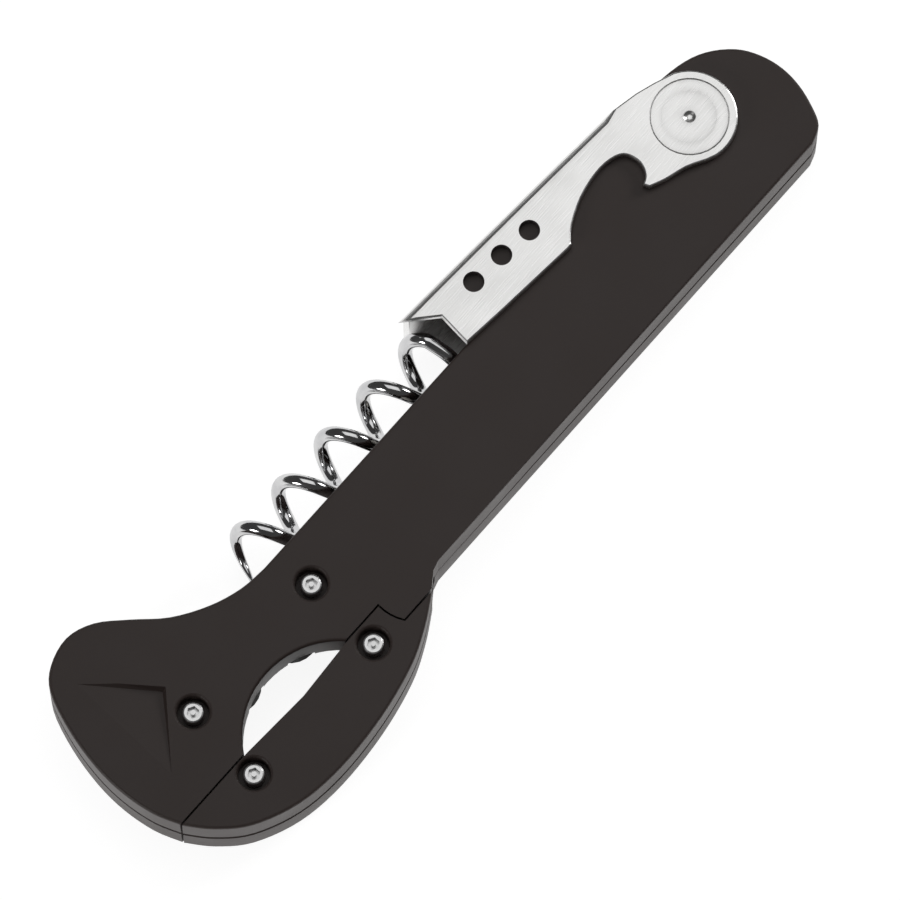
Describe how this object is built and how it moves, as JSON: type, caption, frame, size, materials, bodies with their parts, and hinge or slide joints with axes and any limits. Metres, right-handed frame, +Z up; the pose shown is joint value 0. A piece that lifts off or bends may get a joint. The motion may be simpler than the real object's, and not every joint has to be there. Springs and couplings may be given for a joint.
{
  "type": "waiter's corkscrew",
  "caption": "Folding waiter's corkscrew: two-shell knife-shaped handle, U-section lever with opener notch, fold-out worm, and a hinged jaw with cutting wheels for foil.",
  "frame": {"origin": "bottom centre of the bounding box, with the closed tool lying flat on its back", "axes": "+X along the handle from the head to the lever's pivot end, +Y towards the edge that the worm and lever fold into, +Z up through the thickness to the front face"},
  "size_m": [0.1472, 0.0432, 0.015],
  "materials": {
    "handle_plastic": "satin moulded",
    "lever_steel": "bright satin",
    "worm_steel": "polished",
    "satin_steel": "satin",
    "wheel_steel": "ground",
    "washer_nylon": "matte"
  },
  "bodies": {
    "handle": {"front_shell": "handle_plastic", "back_shell": "handle_plastic", "liner_plate": "satin_steel", "worm_spring": "satin_steel", "spring_rivet": "worm_steel", "jaw_hinge_pin": "worm_steel", "worm_pivot_pin": "worm_steel", "worm_spacer_front": "washer_nylon", "worm_spacer_back": "washer_nylon", "pivot_washer_front": "washer_nylon", "pivot_washer_back": "washer_nylon", "lever_rivet": "lever_steel", "body_screw_1": "satin_steel", "body_screw_2": "satin_steel", "body_nut_1": "satin_steel", "body_nut_2": "satin_steel", "cradle_axle_1": "satin_steel", "cradle_axle_2": "satin_steel"},
    "jaw": {"jaw_front_shell": "handle_plastic", "jaw_back_shell": "handle_plastic", "jaw_arm": "satin_steel", "jaw_screw_1": "satin_steel", "jaw_screw_2": "satin_steel", "jaw_nut_1": "satin_steel", "jaw_nut_2": "satin_steel", "jaw_axle_1": "satin_steel", "jaw_axle_2": "satin_steel"},
    "lever_arm": {"lever": "lever_steel"},
    "worm_wire": {"worm": "worm_steel"},
    "cradle_cutter_1": {"cradle_wheel_1": "wheel_steel"},
    "cradle_cutter_2": {"cradle_wheel_2": "wheel_steel"},
    "jaw_cutter_1": {"jaw_wheel_1": "wheel_steel"},
    "jaw_cutter_2": {"jaw_wheel_2": "wheel_steel"}
  },
  "joints": [
    {"name": "lever_hinge", "type": "hinge", "parent": "handle", "child": "lever_arm", "pos_m": [0.0584, 0.00435, 0.0075], "axis": [0, 0, -1], "range_deg": [0, 115]},
    {"name": "worm_hinge", "type": "hinge", "parent": "handle", "child": "worm_wire", "pos_m": [-0.0043, 0.00385, 0.0075], "axis": [0, 0, -1], "range_deg": [0, 90]},
    {"name": "jaw_hinge", "type": "hinge", "parent": "handle", "child": "jaw", "pos_m": [-0.0202, -0.01045, 0.0075], "axis": [0, 0, 1], "range_deg": [0, 65]},
    {"name": "cradle_wheel_1_spin", "type": "hinge", "parent": "handle", "child": "cradle_cutter_1", "pos_m": [-0.05006, -0.00055, 0.0075], "axis": [0, 0, 1], "continuous": true},
    {"name": "cradle_wheel_2_spin", "type": "hinge", "parent": "handle", "child": "cradle_cutter_2", "pos_m": [-0.03865, -0.00185, 0.0075], "axis": [0, 0, 1], "continuous": true},
    {"name": "jaw_wheel_1_spin", "type": "hinge", "parent": "jaw", "child": "jaw_cutter_1", "pos_m": [-0.0394, -0.0137, 0.0075], "axis": [0, 0, 1], "continuous": true},
    {"name": "jaw_wheel_2_spin", "type": "hinge", "parent": "jaw", "child": "jaw_cutter_2", "pos_m": [-0.0494, -0.0137, 0.0075], "axis": [0, 0, 1], "continuous": true}
  ]
}
